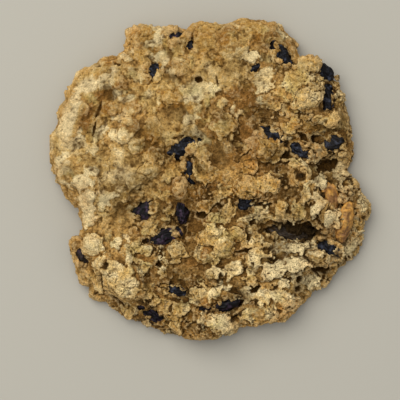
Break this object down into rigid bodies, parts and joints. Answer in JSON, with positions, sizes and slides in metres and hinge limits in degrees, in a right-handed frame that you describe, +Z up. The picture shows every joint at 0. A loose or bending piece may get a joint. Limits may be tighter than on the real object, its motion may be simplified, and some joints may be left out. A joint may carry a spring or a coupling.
{
  "type": "oatmeal raisin cookie",
  "caption": "Round, craggy baked oatmeal raisin cookie with a flat underside, oats fused over its top and raisins set in it.",
  "frame": {"origin": "on the flat underside, under the middle of the bounding box", "axes": "+Z up out of the cookie's top; +X and +Y in the plane of the surface that it lies on"},
  "size_m": [0.0906, 0.0906, 0.0139],
  "materials": {
    "cookie_dough": "matte, crumbly baked dough with oats, pale on the raised oats and brown in the hollows",
    "raisin": "wrinkled, near-black dried fruit skin with a slight sheen",
    "golden_raisin": "wrinkled, amber dried fruit skin with a slight sheen"
  },
  "bodies": {
    "root": {"cookie": "cookie_dough", "raisin_01": "raisin", "raisin_02": "raisin", "raisin_03": "raisin", "raisin_04": "raisin", "raisin_05": "raisin", "raisin_06": "raisin", "raisin_07": "raisin", "raisin_08": "raisin", "raisin_09": "raisin", "raisin_10": "raisin", "raisin_11": "raisin", "raisin_12": "raisin", "raisin_13": "raisin", "raisin_14": "raisin", "raisin_15": "raisin", "raisin_16": "raisin", "raisin_17": "raisin", "raisin_18": "raisin", "raisin_19": "raisin", "raisin_20": "raisin", "raisin_21": "raisin", "golden_raisin_01": "golden_raisin", "golden_raisin_02": "golden_raisin"}
  },
  "joints": []
}
